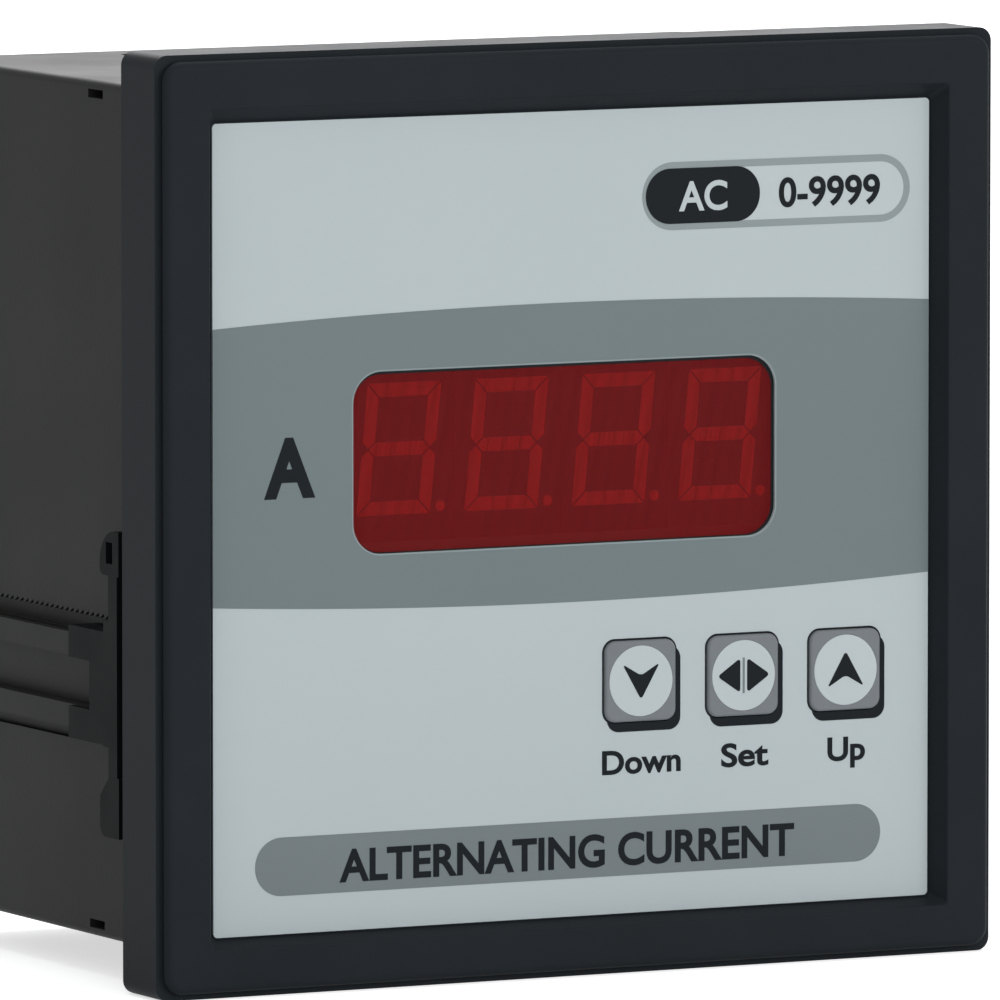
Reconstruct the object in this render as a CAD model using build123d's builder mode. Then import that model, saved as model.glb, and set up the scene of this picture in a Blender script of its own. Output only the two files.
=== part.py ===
from build123d import *
import os
from math import radians, tan

# Digital panel meter for a square panel cut-out. A moulded bezel holds a printed face, a red
# window over four digits and three keys. A box case behind it slides through the cut-out and is
# held by two ratchet clamps on its sides.
# X runs to the right as seen from the front, Y runs back through the panel, Z is up.
# The origin is the middle of the bezel's rear face, which seats on the panel.
# All sizes are in millimetres.

# Bezel
bezel_size = 96.0
bezel_depth = 9.0
flange_depth = 7.7
flange_corner = 1.4
frame_inset = 0.65
frame_corner = 2.0
frame_edge_radius = 0.8
shadow_groove_width = 0.45
shadow_groove_depth = 0.5
frame_side_width = 6.7
frame_top_width = 7.0
frame_bottom_width = 5.9
recess_depth = 2.3
recess_corner = 0.6
recess_slope_run = 1.15
recess_mouth_corner = 0.4
recess_mouth_drop = 0.2
mouth_edge_radius = 0.2
floor_thickness = 1.7
rim_wall = 1.4
rim_clearance = 0.1
rim_reach = 1.5

# Case
flange_overhang = 4.0
case_depth = 53.4
case_wall = 1.8
case_corner = 0.8
case_entry = 3.0
case_entry_clearance = 0.05

# Snap tongues of the bezel and their slots in the case
tongue_width = 10.0
tongue_side_gap = 0.4
tongue_reach = 17.5
barb_height = 0.7
barb_clearance = 0.3
snap_slot_start = 12.6
snap_slot_length = 3.5
snap_slot_height = 0.9

# Clamp rails on the case sides
rail_edge = 26.5
rail_start = 7.0
rail_height = 2.0
rail_width = 2.4
rail_lip = 1.0
rail_undercut = 0.8
channel_width = 5.0
ratchet_start = 10.2
ratchet_width = 1.6
ratchet_depth = 0.8
tooth_pitch = 1.2
tooth_depth = 0.5
tooth_length = 0.96

# Clamps
clamp_clearance = 0.15
clamp_flank_clearance = 0.1
clamp_gap = 2.15
clamp_height = 3.4
bar_length = 20.6
bar_depth = 2.0
bar_rise = 1.5
waist_length = 13.0
waist_depth = 3.2
head_length = 4.6
head_round = 3.4
head_heel_round = 0.8
head_slot_width = 1.5
head_slot_length = 2.2
foot_length = 6.2
foot_depth = 4.4
foot_proud = 0.4
foot_bevel = 2.1
foot_toe_round = 1.2
carriage_length = 9.45
carriage_plate = 0.7
carriage_skirt = 0.8
carriage_bridge = 4.55
pawl_length = 1.7

# Face label
label_thickness = 0.25
label_clearance = 0.15

# Window and display
window_width = 48.5
window_height = 18.64
window_corner = 3.2
window_x = -1.05
window_z = 5.7
filter_thickness = 0.9
filter_clearance = 0.1
filter_margin = 1.0
digit_count = 4
digit_row_margin = 0.35
digit_gap = 0.1
digit_body_margin = 0.18
digit_body_depth = 8.0
digit_z = 6.95
digit_end_margin = 2.75
digit_side_margin = 1.95
digit_slant = 5.5
segment_width = 1.4
segment_gap = 0.1
segment_depth = 1.5
segment_clearance = 0.03
point_diameter = 1.1
point_margin = 1.45

# Keys
key_names = ("down", "set", "up")
key_width = 8.2
key_height = 8.4
key_corner = 1.2
key_pitch = 11.9
key_side_margin = 10.0
key_low_margin = 24.1
key_proud = 0.4
key_gap = 0.15
key_edge_radius = 0.3
key_flange = 0.9
key_flange_thickness = 1.0
key_rest_gap = 0.05
key_travel = 0.3
key_stem_diameter = 3.2
disc_diameter = 7.3
disc_thickness = 0.3
disc_clearance = 0.03

# Key switches
switch_size = 6.0
switch_body_height = 3.2
switch_cover = 0.3
switch_height = 4.3
plunger_diameter = 3.4
plunger_clearance = 0.15
plunger_head = 4.6
plunger_head_thickness = 0.5
switch_well_depth = 1.8

# Display board and its screws
board_thickness = 1.6
board_edge_gap = 0.3
post_diameter = 5.0
post_inset = 4.2
screw_diameter = 2.2
screw_length = 7.0
screw_head_diameter = 4.4
screw_head_height = 1.6
screw_slot_width = 0.6
screw_slot_depth = 0.8
screw_hole_clearance = 0.2
pilot_clearance = 0.05

# Chips behind the display board
chip_size = 12.0
chip_height = 2.0
chip_x = -18.0
chip_z = 12.0
chip_lead_count = 10
chip_draft = 4.0
chip_lead_width = 0.35
chip_lead_reach = 1.2
chip_lead_thickness = 0.3
driver_length = 20.0
driver_width = 6.4
driver_height = 3.3
driver_x = 14.0
driver_lead_count = 12
crystal_length = 11.0
crystal_width = 4.5
crystal_height = 3.5
crystal_gap = 6.0

# Main board, lying in guides in the lower half of the case
main_board_rise = 19.0
main_board_front = 8.0
main_board_rear_gap = 1.0
main_board_side_gap = 0.3
guide_depth = 2.0
guide_thickness = 1.2
guide_clearance = 0.1
guide_start = 6.0

# Connector between the boards
pin_pitch = 2.54
pin_width = 0.64
socket_height = 2.54
socket_depth = 6.5
socket_lift = 0.3
header_depth = 2.54
header_gap = 0.3
pin_bend = 1.5
pin_tail = 1.2

# Transformer
core_share = 0.358
core_side_margin = 4.9
core_lift = 1.5
bobbin_wall = 0.8
bobbin_clearance = 0.1
coil_corner = 2.0
bobbin_foot = 4.0
transformer_gap = 0.6
transformer_rear_gap = 2.3

# Row of parts right of the transformer
capacitor_height = 14.0
capacitor_crimp = 0.4
capacitor_crimp_height = 1.6
capacitor_front_gap = 1.5
capacitor_gap = 1.5
capacitor_rear_gap = 4.1
bridge_width = 8.0
bridge_depth = 6.0
bridge_height = 3.2
bridge_gap = 1.5
bridge_bevel = 0.5

# Current transformer and the conductor through it
ring_share = 0.215
ring_bore = 8.0
ring_round = 2.0
ring_foot_width = 9.0
ring_foot_height = 1.2
conductor_diameter = 2.4
conductor_overhang_share = 0.4
conductor_bend_share = 0.44
conductor_front_gap = 0.5
conductor_rear_gap = 3.8

# Fuse, regulator and varistor
fuse_diameter = 5.2
fuse_length = 20.0
fuse_cap_length = 5.0
fuse_cap_wall = 0.3
fuse_front_gap = 2.5
fuse_clip_width = 4.0
fuse_clip_wall = 0.5
fuse_lift = 1.6
regulator_width = 10.0
regulator_height = 9.0
regulator_thickness = 4.4
regulator_tab_height = 6.5
regulator_tab_thickness = 1.3
regulator_hole = 3.6
regulator_side_gap = 1.0
regulator_lift = 3.5
regulator_lead_width = 1.0
regulator_lead_thickness = 0.5
regulator_lead_pitch = 2.54
varistor_diameter = 9.0
varistor_round_share = 0.3
varistor_front_gap = 1.0
varistor_side_gap = 3.0
varistor_lift = 1.5
varistor_lead_pitch = 5.0
varistor_lead_diameter = 0.8
varistor_rear_gap = 3.6

# Terminal block at the rear
pole_count = 8
pole_pitch = 7.62
block_end = 1.0
block_height = 17.0
block_depth = 16.0
block_proud = 1.2
block_clearance = 0.2
block_bevel = 3.0
entry_width = 3.8
entry_height = 3.8
entry_z = 4.6
entry_depth = 11.0
entry_bevel = 0.4
access_diameter = 4.4
access_z = 12.4
access_depth = 8.0
terminal_head_diameter = 3.9
terminal_head_height = 1.8
terminal_slot_width = 0.8
terminal_slot_depth = 0.9
terminal_slot_turn = 30.0
contact_width = 3.2
contact_thickness = 0.8
contact_length = 9.0
contact_pin = 1.0
contact_pin_clearance = 0.1

# Ventilation slots
vent_width = 2.0
vent_pitch = 6.0
vent_count = 9
rear_vent_length = 18.0
rear_vent_z = 22.0
roof_vent_length = 10.0
roof_vent_rear_gap = 3.0

# Values that follow from the sizes above
recess_width = bezel_size - 2 * frame_side_width
recess_height = bezel_size - frame_top_width - frame_bottom_width
recess_right = recess_width / 2
recess_bottom = frame_bottom_width - bezel_size / 2
recess_z = recess_bottom + recess_height / 2
frame_size = bezel_size - 2 * frame_inset
neck_size = frame_size - 2 * shadow_groove_depth
recess_mouth_width = recess_width + 2 * recess_slope_run
recess_mouth_height = recess_height + 2 * recess_slope_run
floor_front = -(bezel_depth - recess_depth)
floor_back = floor_front + floor_thickness
label_front = floor_front - label_thickness
case_size = bezel_size - 2 * flange_overhang
case_half = case_size / 2
rail_offset = case_half - rail_edge
inner_half = case_half - case_wall
rim_outer = 2 * (inner_half - rim_clearance)
rim_inner = rim_outer - 2 * rim_wall
rear_inside = case_depth - case_wall

digit_face = floor_front + filter_thickness
board_front = digit_face + digit_body_depth
board_back = board_front + board_thickness
board_size = rim_inner - 2 * board_edge_gap
post_spacing = rim_inner - 2 * post_inset
digit_row = window_width + 2 * digit_row_margin
digit_pitch = digit_row / digit_count
digit_body_height = window_height + 2 * digit_body_margin
digit_height = digit_body_height - 2 * digit_end_margin
digit_width = digit_pitch - 2 * digit_side_margin
point_side = digit_pitch / 2 - point_margin
display_opening_width = max(digit_row, window_width) + 2 * filter_margin
display_opening_top = max(digit_z + digit_body_height / 2, window_z + window_height / 2) + filter_margin
display_opening_bottom = min(digit_z - digit_body_height / 2, window_z - window_height / 2) - filter_margin
display_opening_height = display_opening_top - display_opening_bottom
display_opening_z = (display_opening_top + display_opening_bottom) / 2

key_last_x = recess_right - key_side_margin
key_places = [key_last_x - index * key_pitch for index in reversed(range(len(key_names)))]
key_z = recess_bottom + key_low_margin
key_front = label_front - key_proud
key_flange_front = floor_back + key_rest_gap
key_flange_back = key_flange_front + key_flange_thickness
plunger_front = board_front - switch_height
switch_face = board_front - switch_body_height

channel_half = channel_width / 2
rail_outer = channel_half + rail_width
rail_root = rail_outer - rail_undercut
skirt_inner = rail_outer + clamp_flank_clearance
skirt_outer = skirt_inner + carriage_skirt
bar_front = clamp_gap + foot_proud
waist_back = bar_front + waist_depth
carriage_back = waist_back + carriage_length
carriage_floor = rail_height + clamp_flank_clearance
carriage_top = carriage_floor + carriage_plate

# The main board and what it carries: a row of parts with even gaps from side to side
main_board_z = main_board_rise - case_half
main_board_top = main_board_z + board_thickness
main_board_half = inner_half - main_board_side_gap
main_board_rear = rear_inside - main_board_rear_gap
block_rear = case_depth + block_proud
block_front = block_rear - block_depth
block_width = pole_count * pole_pitch + 2 * block_end
board_run = block_front - main_board_front

capacitor_room = board_run - capacitor_front_gap - capacitor_gap - capacitor_rear_gap
capacitor_diameter = (capacitor_room - bridge_depth - bridge_gap) / 2
regulator_x = main_board_half - guide_depth - regulator_side_gap - regulator_thickness
core_left = core_side_margin - main_board_half
core_width = core_share * 2 * main_board_half
ring_diameter = ring_share * 2 * main_board_half
row_gap = (regulator_x - core_left - core_width - capacitor_diameter - ring_diameter) / 3
ring_x = regulator_x - row_gap - ring_diameter / 2
capacitor_x = ring_x - ring_diameter / 2 - row_gap - capacitor_diameter / 2

fuse_back = main_board_front + fuse_front_gap + fuse_diameter
conductor_front = fuse_back + conductor_front_gap + conductor_diameter / 2
conductor_back = block_front - conductor_rear_gap - conductor_diameter / 2
ring_thickness = (conductor_back - conductor_front) / (1 + 2 * conductor_overhang_share)
conductor_bend = conductor_bend_share * ring_thickness
ring_y = (conductor_front + conductor_back) / 2
ring_centre_z = main_board_top + ring_foot_height + ring_diameter / 2
varistor_back = block_front - varistor_rear_gap
varistor_front = ring_y + ring_thickness / 2 + varistor_front_gap
varistor_thickness = varistor_back - varistor_front
varistor_round = varistor_round_share * varistor_thickness

# Standard laminations: legs and windows are a sixth of the width, the middle leg a third
core_leg = core_width / 6
core_centre_leg = core_width / 3
core_height = core_width * 5 / 6
core_x = core_left + core_width / 2
coil_room = core_leg - bobbin_wall - 2 * bobbin_clearance

pin_count = round(core_width / pin_pitch)
row_length = pin_count * pin_pitch
pin_height = main_board_top + socket_lift + socket_height / 2
header_front = max(main_board_front, board_back + socket_depth) + header_gap
pin_drop_y = header_front + header_depth + pin_bend
transformer_front = pin_drop_y + pin_width / 2 + transformer_gap
cheek_depth = block_front - transformer_rear_gap - transformer_front
core_y = transformer_front + cheek_depth / 2
core_depth = cheek_depth - 2 * (bobbin_clearance + bobbin_wall + coil_room)
bobbin_hole_width = core_centre_leg + 2 * bobbin_clearance
bobbin_hole_depth = core_depth + 2 * bobbin_clearance


def at_depth(y):
    """The upright plane at depth y. It faces the viewer, so a positive extrusion comes forward."""
    return Plane.XZ.offset(-y)


def side_rectangle(out_low, out_high, up_low, up_high):
    """A rectangle beside the left wall of the case: out from the wall, and up from the rails' middle."""
    with Locations((-case_half - (out_low + out_high) / 2, -rail_offset + (up_low + up_high) / 2)):
        Rectangle(out_high - out_low, up_high - up_low)


# Bezel: flange, shadow groove and raised frame, with a recess for the face and an open back
with BuildPart() as bezel:
    with BuildSketch(at_depth(0)):
        RectangleRounded(bezel_size, bezel_size, flange_corner)
    extrude(amount=flange_depth)
    with BuildSketch(at_depth(-flange_depth)):
        RectangleRounded(neck_size, neck_size, frame_corner)
    extrude(amount=shadow_groove_width)
    with BuildSketch(at_depth(-flange_depth - shadow_groove_width)):
        RectangleRounded(frame_size, frame_size, frame_corner)
    extrude(amount=bezel_depth - flange_depth - shadow_groove_width)
    fillet(bezel.faces().sort_by(Axis.Y)[0].outer_wire().edges(), frame_edge_radius)
    with BuildSketch(at_depth(floor_front)):
        with Locations((0, recess_z)):
            RectangleRounded(recess_width, recess_height, recess_corner)
    with BuildSketch(at_depth(-bezel_depth)):
        with Locations((0, -recess_mouth_drop)):
            RectangleRounded(recess_mouth_width, recess_mouth_height, recess_mouth_corner)
    loft(mode=Mode.SUBTRACT)
    fillet(bezel.faces().sort_by(Axis.Y)[0].inner_wires().edges(), mouth_edge_radius)
    # Rim that reaches into the case, and the hollow inside it
    with BuildSketch(at_depth(rim_reach)):
        Rectangle(rim_outer, rim_outer)
    extrude(amount=rim_reach)
    with BuildSketch(at_depth(rim_reach)):
        Rectangle(rim_inner, rim_inner)
    extrude(amount=rim_reach - floor_back, mode=Mode.SUBTRACT)
    # Groove round the rear that takes the front edge of the case
    with BuildSketch(at_depth(0)):
        groove_size = case_size + 2 * case_entry_clearance
        RectangleRounded(groove_size, groove_size, case_corner + case_entry_clearance)
        Rectangle(rim_outer, rim_outer, mode=Mode.SUBTRACT)
    extrude(amount=case_entry, mode=Mode.SUBTRACT)
    # Openings in the floor for the display and the keys
    with BuildSketch(at_depth(floor_back)):
        with Locations((window_x, display_opening_z)):
            Rectangle(display_opening_width, display_opening_height)
        with Locations([(x, key_z) for x in key_places]):
            RectangleRounded(key_width + 2 * key_gap, key_height + 2 * key_gap, key_corner + key_gap)
    extrude(amount=floor_thickness, mode=Mode.SUBTRACT)
    # Posts that carry the display board, with pilot holes for its screws
    with BuildSketch(at_depth(floor_back)):
        with GridLocations(post_spacing, post_spacing, 2, 2):
            Circle(post_diameter / 2)
    extrude(amount=floor_back - board_front)
    with BuildSketch(at_depth(board_front)):
        with GridLocations(post_spacing, post_spacing, 2, 2):
            Circle(screw_diameter / 2 + pilot_clearance)
    extrude(amount=screw_length - board_thickness + pilot_clearance, mode=Mode.SUBTRACT)
    # Snap tongues that reach into the case, each with a barb near its end
    barb_front = snap_slot_start + barb_clearance
    barb_back = snap_slot_start + snap_slot_length
    for side in (-1, 1):
        tongue_x = side * (rim_outer / 2 - tongue_side_gap - tongue_width / 2)
        for up in (-1, 1):
            with BuildSketch(Plane.YZ.offset(tongue_x - tongue_width / 2)):
                with BuildLine():
                    Polyline(
                        (-case_entry, up * rim_inner / 2),
                        (tongue_reach, up * rim_inner / 2),
                        (tongue_reach, up * (rim_outer / 2 - rim_wall / 2)),
                        (barb_back, up * rim_outer / 2),
                        (barb_front, up * (rim_outer / 2 + barb_height)),
                        (barb_front, up * rim_outer / 2),
                        (-case_entry, up * rim_outer / 2),
                        close=True,
                    )
                make_face()
            extrude(amount=tongue_width)

# Case: an open-fronted box with clamp rails, ratchet grooves, board guides and vents
with BuildPart() as rear_case:
    with BuildSketch(at_depth(case_depth)):
        RectangleRounded(case_size, case_size, case_corner)
    extrude(amount=case_depth + case_entry)
    fillet(rear_case.faces().sort_by(Axis.Y)[-1].edges(), case_corner / 2)
    with BuildSketch(at_depth(rear_inside)):
        Rectangle(2 * inner_half, 2 * inner_half)
    extrude(amount=rear_inside + case_entry, mode=Mode.SUBTRACT)
    # Two rails on each side, with a lip over an undercut, and the same on the other side
    with BuildSketch(at_depth(case_depth)):
        with PolarLocations(0, 2):
            for low, high, root_low, root_high in (
                (channel_half, rail_outer, channel_half, rail_root),
                (-rail_outer, -channel_half, -rail_root, -channel_half),
            ):
                side_rectangle(rail_height - rail_lip, rail_height, low, high)
                side_rectangle(0, rail_height - rail_lip, root_low, root_high)
    extrude(amount=case_depth - rail_start)
    # Ratchet grooves beside the rails, toothed along the edge that the pawl rides on
    for side in (-1, 1):
        groove_length = case_depth - ratchet_start
        tooth_number = int(groove_length / tooth_pitch) - 1
        with BuildSketch(Plane.YZ.offset(side * case_half)):
            for edge in (-1, 1):
                groove_z = side * rail_offset - side * edge * (rail_outer + ratchet_width / 2)
                with Locations((ratchet_start + groove_length / 2, groove_z)):
                    Rectangle(groove_length, ratchet_width)
            tooth_z = side * rail_offset - side * (rail_outer + ratchet_width)
            for index in range(tooth_number):
                tooth_y = ratchet_start + (index + 1) * tooth_pitch
                with BuildLine():
                    Polyline(
                        (tooth_y, tooth_z),
                        (tooth_y + tooth_length, tooth_z),
                        (tooth_y, tooth_z - side * tooth_depth),
                        close=True,
                    )
                make_face()
        extrude(amount=-side * ratchet_depth, mode=Mode.SUBTRACT)
    # Slots for the barbs of the bezel's tongues, open to the side near the edges
    slot_inner = rim_outer / 2 - tongue_side_gap - tongue_width - barb_clearance
    slot_reach = case_half - slot_inner
    with BuildSketch(at_depth(snap_slot_start + snap_slot_length)):
        for side in (-1, 1):
            for up in (-1, 1):
                slot_z = up * (inner_half + snap_slot_height / 2)
                with Locations((side * (slot_inner + slot_reach / 2), slot_z)):
                    Rectangle(slot_reach, snap_slot_height)
    extrude(amount=snap_slot_length, mode=Mode.SUBTRACT)
    # Guides for the main board, two ribs on each side wall
    with BuildSketch(at_depth(rear_inside)):
        for side in (-1, 1):
            for rib_z in (
                main_board_z - guide_clearance - guide_thickness / 2,
                main_board_top + guide_clearance + guide_thickness / 2,
            ):
                with Locations((side * (inner_half - guide_depth / 2), rib_z)):
                    Rectangle(guide_depth, guide_thickness)
    extrude(amount=rear_inside - guide_start)
    # Opening in the rear wall for the terminal block, and the vents above it
    with BuildSketch(at_depth(case_depth)):
        with Locations((0, main_board_top + block_height / 2)):
            Rectangle(block_width + 2 * block_clearance, block_height + 2 * block_clearance)
        with Locations((0, rear_vent_z)):
            with GridLocations(vent_pitch, 1, vent_count, 1):
                SlotCenterToCenter(rear_vent_length - vent_width, vent_width, rotation=90)
    extrude(amount=case_wall, mode=Mode.SUBTRACT)
    # Vents through the top and bottom walls near the rear
    vent_y = rear_inside - roof_vent_rear_gap - roof_vent_length / 2
    with BuildSketch(Plane.XY.offset(case_half)):
        with Locations((0, vent_y)):
            with GridLocations(vent_pitch, 1, vent_count, 1):
                SlotCenterToCenter(roof_vent_length - vent_width, vent_width, rotation=90)
    extrude(amount=-case_size, mode=Mode.SUBTRACT)

# Clamp on the left rails: a cross bar whose head and foot press on the panel, thicker at its
# waist, where the carriage joins it
with BuildPart() as left_clamp:
    bar_middle = bar_rise - rail_offset
    head_middle = bar_middle + (bar_length + head_length) / 2
    foot_middle = bar_middle - (bar_length + foot_length) / 2
    waist_middle = waist_length / 2 - skirt_outer - rail_offset
    foot_y = clamp_gap + foot_depth / 2
    with BuildSketch(Plane.YZ.offset(-case_half - clamp_clearance)) as side_view:
        with Locations((bar_front + bar_depth / 2, bar_middle)):
            Rectangle(bar_depth, bar_length)
        with Locations((bar_front + waist_depth / 2, waist_middle)):
            Rectangle(waist_depth, waist_length)
        with Locations((foot_y, head_middle)):
            Rectangle(foot_depth, head_length)
        with Locations((foot_y, foot_middle)):
            Rectangle(foot_depth, foot_length)
        # The sketch's own X runs back and its own Y runs up
        fillet(side_view.vertices().group_by(Axis.X)[-1].sort_by(Axis.Y)[-1], head_round)
        fillet(side_view.vertices().group_by(Axis.X)[-1].sort_by(Axis.Y)[-2], head_heel_round)
        chamfer(side_view.vertices().group_by(Axis.X)[-1].sort_by(Axis.Y)[1], foot_bevel)
        fillet(side_view.vertices().group_by(Axis.X)[-1].sort_by(Axis.Y)[0], foot_toe_round)
        with Locations((foot_y, head_middle)):
            Rectangle(head_slot_width, head_slot_length, mode=Mode.SUBTRACT)
    extrude(amount=clamp_clearance - clamp_height)
    # The bar bridges the rails, so that it can follow the carriage along them
    with BuildSketch(at_depth(waist_back)):
        side_rectangle(0, carriage_floor, -skirt_inner, skirt_inner)
    extrude(amount=waist_depth, mode=Mode.SUBTRACT)
    # Carriage: a plate over the rails, skirts down their flanks and hooks under their lips
    with BuildSketch(at_depth(carriage_back)):
        side_rectangle(carriage_floor, carriage_top, -skirt_outer, skirt_outer)
        side_rectangle(clamp_clearance, carriage_floor, skirt_inner, skirt_outer)
        side_rectangle(clamp_clearance, carriage_floor, -skirt_outer, -skirt_inner)
        hook_top = rail_height - rail_lip - clamp_flank_clearance
        hook_reach = rail_root + clamp_flank_clearance
        side_rectangle(clamp_clearance, hook_top, hook_reach, skirt_inner)
        side_rectangle(clamp_clearance, hook_top, -skirt_inner, -hook_reach)
    extrude(amount=carriage_length)
    # Open window behind the bridge, between the two wings of the plate
    with BuildSketch(at_depth(carriage_back)):
        side_rectangle(carriage_floor, carriage_top, -channel_half, channel_half)
    extrude(amount=carriage_length - carriage_bridge, mode=Mode.SUBTRACT)
    # Pawl that rides in the toothed groove
    with BuildSketch(at_depth(carriage_back)):
        side_rectangle(clamp_clearance - ratchet_depth, clamp_clearance, skirt_inner, skirt_outer)
    extrude(amount=pawl_length)

with BuildPart() as right_clamp:
    add(left_clamp.part.rotate(Axis.Y, 180))

# Face: a printed sheet with the window and the key openings
with BuildPart() as face_label:
    with BuildSketch(at_depth(floor_front)):
        with Locations((0, recess_z)):
            RectangleRounded(
                recess_width - 2 * label_clearance,
                recess_height - 2 * label_clearance,
                recess_corner - label_clearance,
            )
        with Locations((window_x, window_z)):
            RectangleRounded(window_width, window_height, window_corner, mode=Mode.SUBTRACT)
        with Locations([(x, key_z) for x in key_places]):
            RectangleRounded(
                key_width + 2 * key_gap, key_height + 2 * key_gap, key_corner + key_gap, mode=Mode.SUBTRACT
            )
    extrude(amount=label_thickness)

# Red window sheet, in the floor's opening between the face and the digits
with BuildPart() as window_filter:
    with BuildSketch(at_depth(digit_face)):
        with Locations((window_x, display_opening_z)):
            Rectangle(
                display_opening_width - 2 * filter_clearance, display_opening_height - 2 * filter_clearance
            )
    extrude(amount=filter_thickness)


# The digit's polygons lean together, so their level bars stay level
def segment_outlines(centre_x, margin):
    """Draws a digit's seven segments and its point on the current sketch, grown by margin."""
    across = (digit_width - segment_width) / 2
    rise = (digit_height - segment_width) / 4
    lean = tan(radians(digit_slant))
    half = segment_width / 2 + margin
    level_end = across - segment_gap + margin
    upright_end = rise - segment_gap + margin
    level = [
        (-level_end, 0),
        (half - level_end, half),
        (level_end - half, half),
        (level_end, 0),
        (level_end - half, -half),
        (half - level_end, -half),
    ]
    # The outer bars and the uprights meet in a mitre at the digit's square corners
    outer_level = [
        (-level_end - half, half),
        (level_end + half, half),
        (level_end - half, -half),
        (half - level_end, -half),
    ]
    upright = [
        (0, -upright_end),
        (half, half - upright_end),
        (half, upright_end + half),
        (-half, upright_end - half),
        (-half, half - upright_end),
    ]
    bars = [(0, 0, level)]
    for up in (-1, 1):
        bars.append((0, up * 2 * rise, [(x, up * z) for x, z in outer_level]))
        for side in (-1, 1):
            bars.append((side * across, up * rise, [(side * x, up * z) for x, z in upright]))
    with Locations((centre_x, digit_z)):
        for bar_x, bar_z, outline in bars:
            corners = [(bar_x + x + (bar_z + z) * lean, bar_z + z) for x, z in outline]
            Polygon(corners, align=(Align.NONE, Align.NONE))
        with Locations((point_side, segment_width / 2 - digit_height / 2)):
            Circle(point_diameter / 2 + margin)


def make_digit(centre_x):
    """The body of one display module, with a cavity for each segment in its face."""
    with BuildPart() as digit:
        with BuildSketch(at_depth(board_front)):
            with Locations((centre_x, digit_z)):
                Rectangle(digit_pitch - digit_gap, digit_body_height)
        extrude(amount=digit_body_depth)
        with BuildSketch(at_depth(digit_face + segment_depth)):
            segment_outlines(centre_x, segment_clearance)
        extrude(amount=segment_depth, mode=Mode.SUBTRACT)
    return digit


def make_segments(centre_x):
    """The clear inserts of one digit: seven bars and the decimal point."""
    with BuildPart() as segments:
        with BuildSketch(at_depth(digit_face + segment_depth)):
            segment_outlines(centre_x, 0)
        extrude(amount=segment_depth)
    return segments


digit_places = [window_x + (index - (digit_count - 1) / 2) * digit_pitch for index in range(digit_count)]
digits = [make_digit(x) for x in digit_places]
digit_segments = [make_segments(x) for x in digit_places]


def make_key(centre_x):
    """A key cap with a seat for its disc, a flange behind the floor and a stem to its switch."""
    with BuildPart() as key:
        with BuildSketch(at_depth(key_flange_front)):
            with Locations((centre_x, key_z)):
                RectangleRounded(key_width, key_height, key_corner)
        extrude(amount=key_flange_front - key_front)
        fillet(key.faces().sort_by(Axis.Y)[0].edges(), key_edge_radius)
        with BuildSketch(at_depth(key_flange_back)):
            with Locations((centre_x, key_z)):
                RectangleRounded(key_width + 2 * key_flange, key_height + 2 * key_flange, key_corner)
        extrude(amount=key_flange_thickness)
        with BuildSketch(at_depth(plunger_front - key_rest_gap)):
            with Locations((centre_x, key_z)):
                Circle(key_stem_diameter / 2)
        extrude(amount=plunger_front - key_rest_gap - key_flange_back)
        with BuildSketch(at_depth(key_front + disc_thickness)):
            with Locations((centre_x, key_z)):
                Circle(disc_diameter / 2 + disc_clearance)
        extrude(amount=disc_thickness, mode=Mode.SUBTRACT)
    return key


def make_disc(centre_x):
    """The white disc inlaid in a key cap."""
    with BuildPart() as disc:
        with BuildSketch(at_depth(key_front + disc_thickness)):
            with Locations((centre_x, key_z)):
                Circle(disc_diameter / 2)
        extrude(amount=disc_thickness)
    return disc


def make_switch_body(centre_x):
    """The moulded body of a key switch, with a well for its plunger."""
    with BuildPart() as body:
        with BuildSketch(at_depth(board_front)):
            with Locations((centre_x, key_z)):
                Rectangle(switch_size, switch_size)
        extrude(amount=switch_body_height)
        with BuildSketch(at_depth(switch_face + switch_well_depth)):
            with Locations((centre_x, key_z)):
                Circle(plunger_head / 2 + plunger_clearance)
        extrude(amount=switch_well_depth, mode=Mode.SUBTRACT)
    return body


def make_switch_cover(centre_x):
    """The sheet cover of a key switch, with the hole that the plunger comes through."""
    with BuildPart() as cover:
        with BuildSketch(at_depth(switch_face)):
            with Locations((centre_x, key_z)):
                Rectangle(switch_size, switch_size)
                Circle(plunger_diameter / 2 + plunger_clearance, mode=Mode.SUBTRACT)
        extrude(amount=switch_cover)
    return cover


def make_plunger(centre_x):
    """The round plunger of a key switch, with a head that keeps it under the cover."""
    head_front = switch_face + key_rest_gap
    with BuildPart() as plunger:
        with BuildSketch(at_depth(head_front + plunger_head_thickness)):
            with Locations((centre_x, key_z)):
                Circle(plunger_head / 2)
        extrude(amount=plunger_head_thickness)
        with BuildSketch(at_depth(head_front)):
            with Locations((centre_x, key_z)):
                Circle(plunger_diameter / 2)
        extrude(amount=head_front - plunger_front)
    return plunger


# Display board, standing on the bezel's posts
with BuildPart() as display_board:
    with BuildSketch(at_depth(board_back)):
        Rectangle(board_size, board_size)
        with GridLocations(post_spacing, post_spacing, 2, 2):
            Circle(screw_diameter / 2 + screw_hole_clearance, mode=Mode.SUBTRACT)
    extrude(amount=board_thickness)

# Four screws that hold the display board to the posts
with BuildPart() as board_screws:
    with BuildSketch(at_depth(board_back)):
        with GridLocations(post_spacing, post_spacing, 2, 2):
            Circle(screw_diameter / 2)
    extrude(amount=screw_length)
    with BuildSketch(at_depth(board_back + screw_head_height)):
        with GridLocations(post_spacing, post_spacing, 2, 2):
            Circle(screw_head_diameter / 2)
    extrude(amount=screw_head_height)
    with BuildSketch(at_depth(board_back + screw_head_height)):
        with GridLocations(post_spacing, post_spacing, 2, 2):
            Rectangle(screw_head_diameter, screw_slot_width)
    extrude(amount=screw_slot_depth, mode=Mode.SUBTRACT)


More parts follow.
